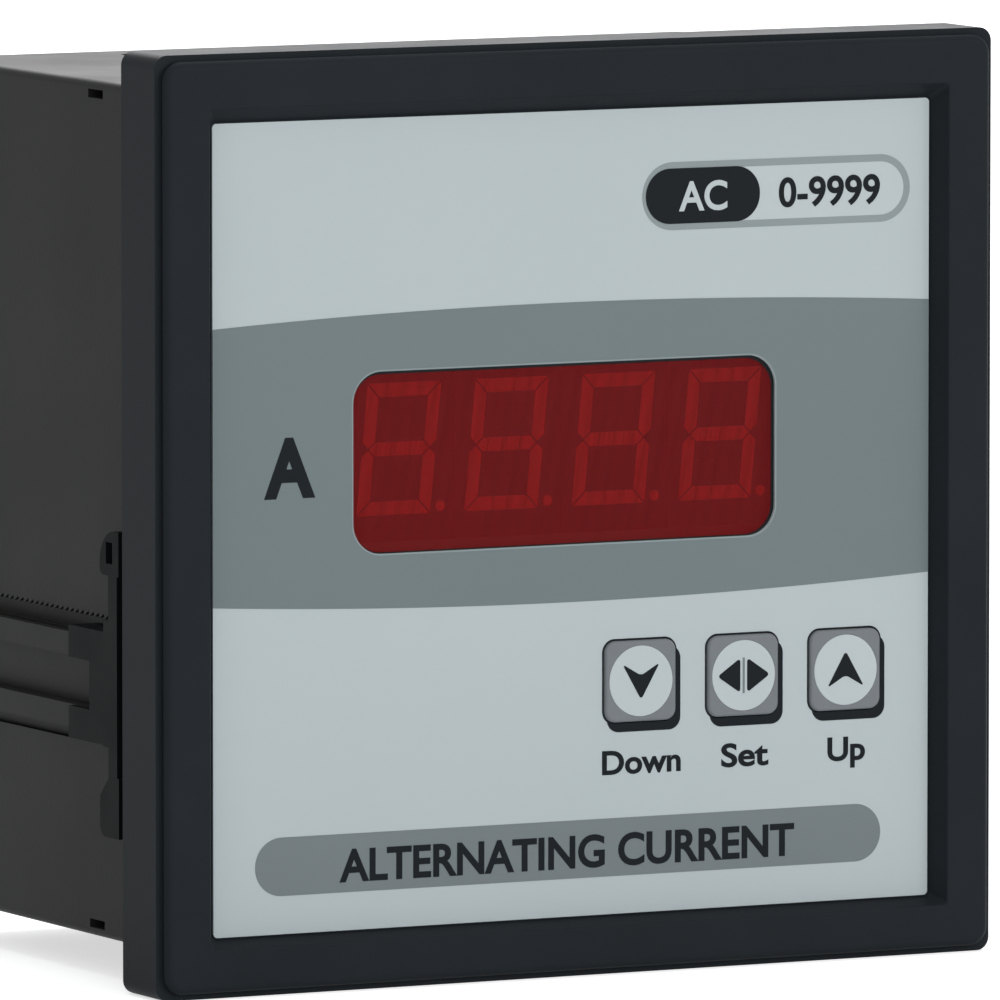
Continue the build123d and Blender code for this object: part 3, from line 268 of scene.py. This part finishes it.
finishOf = {
    "bezel": mouldedBezelAbs, "rear_case": mouldedCaseAbs,
    "left_clamp": nylonWithPaintedShade, "right_clamp": nylonWithPaintedShade,
    "face_label": satinPolycarbonate, "window_filter": dyedAcrylic,
    "display_board": solderMask, "main_board": solderMask, "board_screws": platedSteel,
    "controller_chip": mouldedEpoxy, "driver_chip": mouldedEpoxy, "crystal": platedSteel,
    "board_socket": mouldedEpoxy, "board_header": mouldedEpoxy, "header_pins": goldPins,
    "transformer_core": stackedSteel, "transformer_bobbin": mouldedEpoxy, "transformer_coil": woundCopper,
    "smoothing_capacitors": shrunkSleeve, "bridge_rectifier": mouldedEpoxy,
    "current_transformer": woundTape, "input_conductor": drawnCopper,
    "fuse": drawnGlass, "fuse_clips": tinnedBrass, "regulator": mouldedEpoxy, "varistor": dippedLacquer,
    "terminal_block": mouldedTerminalNylon, "terminal_screws": platedSteel, "terminal_contacts": tinnedBrass,
}
for digit in range(1, digitCount + 1):
    finishOf[f"digit_{digit}"] = epoxyFace
    finishOf[f"digit_{digit}_segments"] = cloudedResin
for key in keyNames:
    finishOf[f"key_{key}"] = mouldedKeyAbs
    finishOf[f"key_{key}_disc"] = printedDisc
    finishOf[f"switch_{key}_body"] = mouldedEpoxy
    finishOf[f"switch_{key}_cover"] = platedSteel
    finishOf[f"switch_{key}_plunger"] = mouldedEpoxy
for name, finish in finishOf.items():
    nodes[name].data.materials.clear()
    nodes[name].data.materials.append(finish)
print("finishes given to", len(finishOf), "nodes")


# Printing lies on the fronts of the face, the filter and the discs, and on the back of the case
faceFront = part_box("face_label")[0].y / mm
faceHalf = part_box("face_label")[1].x / mm
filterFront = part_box("window_filter")[0].y / mm
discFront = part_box("key_set_disc")[0].y / mm
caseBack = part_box("rear_case")[1].y / mm
inkThickness = 0.03
inkOnInk = faceFront - inkThickness
cornerSteps = 12
iconCornerSteps = 4
letterSteps = 6
weldDistance = 0.00005  # between points of a letter, in its own units
toolReach = 1.0  # how far a cutting shape stands out of what it cuts


def pickOnly(thing):
    bpy.ops.object.select_all(action="DESELECT")
    thing.select_set(True)
    bpy.context.view_layer.objects.active = thing


# Gives a print its ink, its place in the mesh and the body that it rides on
def settle(thing, finish, body="meter"):
    pickOnly(thing)
    bpy.ops.object.transform_apply(location=True, rotation=True, scale=True)
    thing.data.materials.clear()
    thing.data.materials.append(finish)
    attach(thing, body)
    return thing


# A flat plate with rounded corners, standing up: a plane at its size and place has its corners
# bevelled, with "rim" its middle inset and taken out, and is then pulled out to its thickness
def roundedPlate(name, plate, depth, thickness=inkThickness):
    bpy.ops.object.select_all(action="DESELECT")
    bpy.ops.mesh.primitive_plane_add(
        size=1, rotation=(math.radians(90), 0, 0), location=(
            (plate["left"] + plate["right"]) / 2 * mm, depth * mm, (plate["low"] + plate["top"]) / 2 * mm))
    thing = bpy.context.object
    thing.name = thing.data.name = name
    thing.scale = ((plate["right"] - plate["left"]) * mm, (plate["top"] - plate["low"]) * mm, 1)
    bpy.ops.object.transform_apply(location=True, rotation=True, scale=True)
    bpy.ops.object.mode_set(mode="EDIT")
    bpy.ops.mesh.select_all(action="SELECT")
    bpy.ops.mesh.bevel(offset=plate["corner"] * mm, segments=cornerSteps, profile=0.5, affect="VERTICES")
    if "rim" in plate:
        bpy.ops.mesh.select_all(action="SELECT")
        bpy.ops.mesh.inset(thickness=plate["rim"] * mm)
        bpy.ops.mesh.delete(type="FACE")
    bpy.ops.mesh.select_all(action="SELECT")
    bpy.ops.mesh.extrude_region_move(TRANSFORM_OT_translate={"value": (0, -thickness * mm, 0)})
    bpy.ops.mesh.select_all(action="SELECT")
    bpy.ops.mesh.normals_make_consistent(inside=False)
    bpy.ops.object.mode_set(mode="OBJECT")
    return thing


# Adds a tool shape to a plate or takes it away, and the tool goes
def shapeWith(thing, tool, operation):
    pickOnly(thing)
    change = thing.modifiers.new("shape", "BOOLEAN")
    change.operation = operation
    change.solver = "EXACT"
    change.object = tool
    bpy.ops.object.modifier_apply(modifier="shape")
    bpy.data.objects.remove(tool, do_unlink=True)
    return thing


# A flat printed field with the outlines given, one inside the other for a hole
def printField(name, outlines, finish):
    curve = bpy.data.curves.new(name, "CURVE")
    curve.dimensions = "2D"
    curve.fill_mode = "BOTH"
    curve.extrude = inkThickness / 2 * mm
    for outline in outlines:
        spline = curve.splines.new("POLY")
        spline.points.add(len(outline) - 1)
        for point, (x, z) in zip(spline.points, outline):
            point.co = (x * mm, z * mm, 0, 1)
        spline.use_cyclic_u = True
    thing = bpy.data.objects.new(name, curve)
    bpy.context.collection.objects.link(thing)
    pickOnly(thing)
    bpy.ops.object.convert(target="MESH")
    thing = bpy.context.object
    thing.rotation_euler = (math.radians(90), 0, 0)
    thing.location.y = (faceFront - inkThickness / 2) * mm
    return settle(thing, finish)


# Words on a baseline, their capitals as high as asked, between two places or about a middle;
# rear words are read from behind
def printWords(name, text, finish, depth=faceFront):
    bpy.ops.object.select_all(action="DESELECT")
    bpy.ops.object.text_add(location=(0, 0, 0))
    thing = bpy.context.object
    thing.name = thing.data.name = name
    thing.data.body = text["words"]
    thing.data.offset = text["weight"]
    thing.data.resolution_u = letterSteps
    thing.data.extrude = inkThickness / 2
    bpy.ops.object.convert(target="MESH")
    thing = bpy.context.object
    bpy.ops.object.mode_set(mode="EDIT")
    bpy.ops.mesh.select_all(action="SELECT")
    bpy.ops.mesh.remove_doubles(threshold=weldDistance)
    bpy.ops.mesh.dissolve_degenerate(threshold=weldDistance)
    bpy.ops.mesh.normals_make_consistent(inside=False)
    bpy.ops.object.mode_set(mode="OBJECT")
    for face in thing.data.polygons:  # where a heavy outline crosses itself, a face can still look inwards
        if abs(face.center.z) > inkThickness / 4 and face.normal.z * face.center.z < 0:
            face.flip()
    xs = [vertex.co.x for vertex in thing.data.vertices]
    tall = max(vertex.co.y for vertex in thing.data.vertices)
    high = text["height"] / tall
    wide = (text["right"] - text["left"]) / (max(xs) - min(xs)) if "right" in text else high
    start = text["left"] if "left" in text else text["middle"] - (max(xs) - min(xs)) * wide / 2
    end = start + (max(xs) - min(xs)) * wide
    for vertex in thing.data.vertices:
        vertex.co.x = (vertex.co.x - min(xs)) * wide * mm
        vertex.co.y = vertex.co.y * high * mm
        vertex.co.z *= mm
    rear = text.get("rear", False)
    thing.rotation_euler = (math.radians(90), 0, math.pi if rear else 0)
    thing.location = (
        (end if rear else start) * mm,
        (depth + inkThickness / 2 if rear else depth - inkThickness / 2) * mm, text["baseline"] * mm)
    return settle(thing, finish)


def arcPoints(x, z, radius, fromDegrees, toDegrees, steps):
    points = []
    for step in range(steps + 1):
        angle = math.radians(fromDegrees + (toDegrees - fromDegrees) * step / steps)
        points.append((x + radius * math.cos(angle), z + radius * math.sin(angle)))
    return points


def roundedOutline(plate):
    radius = plate["corner"]
    left, right = plate["left"] + radius, plate["right"] - radius
    low, top = plate["low"] + radius, plate["top"] - radius
    points = []
    for x, z, start in ((right, top, 0), (left, top, 90), (left, low, 180), (right, low, 270)):
        points += arcPoints(x, z, radius, start, start + 90, cornerSteps)
    return points


# The grey band crosses the face between two shallow arches and leaves the window free
band = {"topSide": 20.0, "topMiddle": 21.25, "lowSide": -8.3, "lowMiddle": -9.55, "steps": 48}
window = {"left": -25.3, "right": 23.2, "low": -3.62, "top": 15.02, "corner": 3.2}


def archHeight(x, side, middle):
    return middle + (side - middle) * (x / faceHalf) ** 2


acrossFace = [faceHalf * (2 * step / band["steps"] - 1) for step in range(band["steps"] + 1)]
bandOutline = [(x, archHeight(x, band["topSide"], band["topMiddle"])) for x in acrossFace]
bandOutline += [(x, archHeight(x, band["lowSide"], band["lowMiddle"])) for x in reversed(acrossFace)]
printField("band_print", [bandOutline, roundedOutline(window)], screenInkBand)

unitMark = {"words": "A", "left": -35.4, "right": -29.6, "baseline": 2.8, "height": 5.9, "weight": 0.04}
printWords("unit_print", unitMark, screenInkBlack, inkOnInk)

# A black line on the filter follows the window, wider at its top and right: it is painted shade of the
# opening's edge. A pale one surrounds the opening
windowShadeAndEdge = {"left": 0.1, "right": 0.34, "low": 0.14, "top": 0.3, "edge": 0.16}
paintedShadeLine = roundedPlate("window_painted_shade_line", window, filterFront)
opening = roundedPlate("window_painted_shade_tool", {
    "left": window["left"] + windowShadeAndEdge["left"], "right": window["right"] - windowShadeAndEdge["right"],
    "low": window["low"] + windowShadeAndEdge["low"], "top": window["top"] - windowShadeAndEdge["top"],
    "corner": window["corner"] - windowShadeAndEdge["left"]}, filterFront + toolReach, 2 * toolReach)
# Black ink here is painted shade along the window's edge, heaviest at the top and right
settle(shapeWith(paintedShadeLine, opening, "DIFFERENCE"), screenInkBlack)
edge = windowShadeAndEdge["edge"]
settle(roundedPlate("window_edge_print", {
    "left": window["left"] - edge, "right": window["right"] + edge, "low": window["low"] - edge,
    "top": window["top"] + edge, "corner": window["corner"] + edge, "rim": edge}, inkOnInk), screenInkEdge)

# The lower pill and its words
lowerPill = {"left": -36.45, "right": 35.6, "low": -38.05, "top": -32.05, "corner": 2.99}
lowerWords = {"words": "ALTERNATING CURRENT", "left": -26.9, "right": 25.5, "baseline": -36.9,
              "height": 3.3, "weight": 0.026}
settle(roundedPlate("lower_pill_print", lowerPill, faceFront), screenInkGrey)
printWords("lower_pill_words", lowerWords, screenInkBlack, inkOnInk)

# The upper pill: a pale field in a grey ring, a dark half at the left that laps the ring a little,
# and a mark in each half
upperPill = {"left": 7.8, "right": 38.9, "low": 28.2, "top": 35.2, "corner": 3.49, "rim": 0.75}
darkHalf = {"inset": 0.4, "right": 21.4, "lap": 0.1, "corner": 2.8}
supplyMark = {"words": "AC", "left": 12.0, "right": 17.6, "baseline": 30.2, "height": 3.0, "weight": 0.02}
rangeMark = {"words": "0-9999", "left": 23.6, "right": 35.4, "baseline": 30.2, "height": 3.0,
             "weight": 0.022}
rim = upperPill["rim"]
field = {"left": upperPill["left"] + rim, "right": upperPill["right"] - rim,
         "low": upperPill["low"] + rim, "top": upperPill["top"] - rim, "corner": upperPill["corner"] - rim}
settle(roundedPlate("upper_pill_ring", upperPill, faceFront), screenInkEdge)
settle(roundedPlate("upper_pill_field", field, faceFront), screenInkPale)
settle(roundedPlate("upper_pill_dark", {
    "left": upperPill["left"] + darkHalf["inset"], "right": darkHalf["right"],
    "low": field["low"] - darkHalf["lap"], "top": field["top"] + darkHalf["lap"],
    "corner": darkHalf["corner"]}, inkOnInk), screenInkBlack)
printWords("upper_pill_mark", supplyMark, screenInkPale, inkOnInk - inkThickness)
printWords("upper_pill_range", rangeMark, screenInkBlack, inkOnInk)
print("face printed")

# Keys: a black border round each opening, heavier below and at the right, where it is a printed drop shadow;
# its thin line round the rest and its lining of the opening's wall are painted shade of the gap round the
# key
keyBorder = {"halfWidth": 4.25, "halfHeight": 4.35, "corner": 1.35, "line": 0.05,
             "shadowRight": 0.5, "shadowDown": 0.88, "shadeLining": 0.04, "shadeLiningDepth": 0.25}
keyPlaces = {}
for key in keyNames:
    low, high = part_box(f"key_{key}_disc")
    keyPlaces[key] = ((low.x + high.x) / 2 / mm, (low.z + high.z) / 2 / mm)


def keyPlate(name, x, z, grow, depth, thickness):
    halfWidth = keyBorder["halfWidth"] + grow
    halfHeight = keyBorder["halfHeight"] + grow
    return roundedPlate(name, {
        "left": x - halfWidth, "right": x + halfWidth, "low": z - halfHeight, "top": z + halfHeight,
        "corner": keyBorder["corner"] + grow}, depth, thickness)


x, z = keyPlaces["down"]
shadeLiningDepth = keyBorder["shadeLiningDepth"]
# The thin black line all round the opening is painted shade of the gap; the dropped copy is the printed drop
# shadow
border = keyPlate("key_down_border", x, z, keyBorder["line"], faceFront, inkThickness)
dropped = keyPlate("border_shadow", x + keyBorder["shadowRight"], z - keyBorder["shadowDown"], 0,
                   faceFront, inkThickness)
shapeWith(border, dropped, "UNION")
# The lining is painted shade: black on the opening's wall, where the gap round the key lies in shade
shadeLining = keyPlate("border_shade_lining", x, z, 0, faceFront + shadeLiningDepth, shadeLiningDepth + inkThickness)
shapeWith(border, shadeLining, "UNION")
opening = keyPlate("border_opening", x, z, -keyBorder["shadeLining"], faceFront + toolReach, 2 * toolReach)
shapeWith(border, opening, "DIFFERENCE")
settle(border, screenInkBlack)
for key in keyNames[1:]:
    pickOnly(border)
    bpy.ops.object.duplicate(linked=False)
    copy = bpy.context.object
    copy.name = copy.data.name = f"key_{key}_border"
    copy.location.x += (keyPlaces[key][0] - keyPlaces["down"][0]) * mm
    settle(copy, screenInkBlack)

# Signs: an arrowhead with a notched back for down and up, and two triangles beside a line for set
arrowhead = {"half": 2.15, "back": 1.8, "notch": 0.55, "tip": -1.95, "round": 0.42}
setSign = {"inner": 0.4, "outer": 3.05, "half": 1.8, "round": 0.42,
           "lineHalfWidth": 0.12, "lineHalfHeight": 1.85, "lineRound": 0.03}


# A flat sign from its corner points: a disc is filled with as many corners, they are moved to place
# and blunted, and the face is pulled out
def makeIcon(name, corners, blunt, key, finish=screenInkBlack):
    bpy.ops.object.select_all(action="DESELECT")
    bpy.ops.mesh.primitive_circle_add(vertices=len(corners), radius=mm, fill_type="NGON")
    thing = bpy.context.object
    thing.name = thing.data.name = name
    for vertex, (x, z) in zip(thing.data.vertices, corners):
        vertex.co = (x * mm, z * mm, 0)
    bpy.ops.object.mode_set(mode="EDIT")
    bpy.ops.mesh.select_all(action="SELECT")
    bpy.ops.mesh.bevel(offset=blunt * mm, segments=iconCornerSteps, profile=0.5, affect="VERTICES")
    bpy.ops.mesh.select_all(action="SELECT")
    bpy.ops.mesh.extrude_region_move(TRANSFORM_OT_translate={"value": (0, 0, inkThickness * mm)})
    bpy.ops.mesh.select_all(action="SELECT")
    bpy.ops.mesh.normals_make_consistent(inside=False)
    bpy.ops.object.mode_set(mode="OBJECT")
    x, z = keyPlaces[key]
    thing.rotation_euler = (math.radians(90), 0, 0)
    thing.location = (x * mm, discFront * mm, z * mm)
    return settle(thing, finish, f"key_{key}")


half, back = arrowhead["half"], arrowhead["back"]
downCorners = [(-half, back), (0, arrowhead["notch"]), (half, back), (0, arrowhead["tip"])]
makeIcon("key_down_icon", downCorners, arrowhead["round"], "down")
makeIcon("key_up_icon", [(-x, -z) for x, z in downCorners], arrowhead["round"], "up")
inner, half = setSign["inner"], setSign["half"]
rightCorners = [(inner, half), (setSign["outer"], 0), (inner, -half)]
makeIcon("key_set_icon_right", rightCorners, setSign["round"], "set")
makeIcon("key_set_icon_left", [(-x, -z) for x, z in rightCorners], setSign["round"], "set")
width, height = setSign["lineHalfWidth"], setSign["lineHalfHeight"]
lineCorners = [(-width, height), (width, height), (width, -height), (-width, -height)]
makeIcon("key_set_icon_line", lineCorners, setSign["lineRound"], "set", screenInkGrey)

legendStyle = {"height": 2.4, "weight": 0.026}
legends = {
    "down": {"words": "Down", "left": 3.2, "right": 12.3, "baseline": -27.5},
    "set": {"words": "Set", "left": 17.0, "right": 22.5, "baseline": -27.4},
    "up": {"words": "Up", "left": 29.4, "right": 33.8, "baseline": -27.4},
}
for key, legend in legends.items():
    printWords(f"key_{key}_words", {**legend, **legendStyle}, screenInkBlack)

# Plain numbers over the terminals, read from behind
terminalNumbers = {"pitch": 7.62, "count": 8}
numberStyle = {"baseline": -4.6, "height": 2.2, "weight": 0.012, "rear": True}
firstMiddle = (terminalNumbers["count"] - 1) / 2 * terminalNumbers["pitch"]
for pole in range(terminalNumbers["count"]):
    printWords(f"terminal_number_{pole + 1}", {
        **numberStyle, "words": str(pole + 1), "middle": firstMiddle - pole * terminalNumbers["pitch"]},
        padPrintedWhite, caseBack)
print("keys and terminals printed")


# The studio, in metres and watts
studio = {"world": 0.4, "floor": "#eff0f1", "floorRoughness": 0.9, "floorGlow": 0.62, "floorSize": 14.0}
lamps = {
    "front_left_lamp": {"place": (-0.7, -2.0, 0.7), "size": 1.2, "power": 9.2},
    "front_right_lamp": {"place": (1.1, -1.7, 0.5), "size": 1.2, "power": 14.5},
    "top_lamp": {"place": (0.1, 0.3, 1.8), "size": 1.4, "power": 14},
    "rear_lamp": {"place": (0.7, 1.8, 1.0), "size": 1.2, "power": 12},
}
photoView = {"eye": (-0.77581, -1.51296, 0.16392), "target": (-0.003954, 0.002050, 0.000333),
             "lens": 598.9, "sensor": 36, "near": 0.1, "far": 50}  # lens and sensor in mm
plainWhite = (1, 1, 1, 1)

scene = bpy.context.scene
scene.view_settings.view_transform = "Standard"


# 1 for the rays that see the background, which are those of camera, gloss and glass, and 0 for light
def seenRays(tree):
    path = addNode(tree, "ShaderNodeLightPath")
    glossToo = addNode(tree, "ShaderNodeMath", {"operation": "MAXIMUM"}, {
        0: path.outputs["Is Camera Ray"], 1: path.outputs["Is Glossy Ray"]})
    glassToo = addNode(tree, "ShaderNodeMath", {"operation": "MAXIMUM"}, {
        0: glossToo.outputs[0], 1: path.outputs["Is Transmission Ray"]})
    return glassToo.outputs[0]


# The world lights at a plain level and is seen white
world = bpy.data.worlds.new("studioWorld")
scene.world = world
world.use_nodes = True
tree = world.node_tree
tree.nodes.clear()
plain = addNode(tree, "ShaderNodeBackground", {"Color": plainWhite, "Strength": studio["world"]})
white = addNode(tree, "ShaderNodeBackground", {"Color": plainWhite, "Strength": 1.0})
either = addNode(tree, "ShaderNodeMixShader", None, {
    0: seenRays(tree), 1: plain.outputs[0], 2: white.outputs[0]})
addNode(tree, "ShaderNodeOutputWorld", None, {"Surface": either.outputs[0]})

# The floor is pale, keeps the object's shadow, and glows a little only where it is seen
bpy.ops.object.select_all(action="DESELECT")
bpy.ops.mesh.primitive_plane_add(size=studio["floorSize"], location=(0, 0, cadBounds[0].z))
floor = bpy.context.object
floor.name = "studio_floor"
floorMaterial, tree, shader, place = newMaterial("paleFloor")
shader.inputs["Base Color"].default_value = linearColor(studio["floor"])
shader.inputs["Roughness"].default_value = studio["floorRoughness"]
shader.inputs["Specular IOR Level"].default_value = 0.0
shader.inputs["Emission Color"].default_value = plainWhite
glow = addNode(tree, "ShaderNodeMath", {"operation": "MULTIPLY", 1: studio["floorGlow"]}, {
    0: seenRays(tree)})
tree.links.new(glow.outputs[0], shader.inputs["Emission Strength"])
floor.data.materials.append(floorMaterial)

# Soft square lamps, each aimed at the middle of the object
for name, lamp in lamps.items():
    bpy.ops.object.light_add(type="AREA", location=lamp["place"])
    light = bpy.context.object
    light.name = name
    light.data.shape = "SQUARE"
    light.data.size = lamp["size"]
    light.data.energy = lamp["power"]
    light.rotation_mode = "QUATERNION"
    light.rotation_quaternion = (-Vector(lamp["place"])).to_track_quat("-Z", "Y")
    light.visible_camera = False

eye, target = Vector(photoView["eye"]), Vector(photoView["target"])
bpy.ops.object.camera_add(location=eye)
camera = bpy.context.object
camera.name = "photo_camera"
camera.data.sensor_width = photoView["sensor"]
camera.data.lens = photoView["lens"]
camera.data.clip_start, camera.data.clip_end = photoView["near"], photoView["far"]
camera.rotation_mode = "QUATERNION"
camera.rotation_quaternion = (target - eye).to_track_quat("-Z", "Y")
scene.camera = camera
print("studio ready")
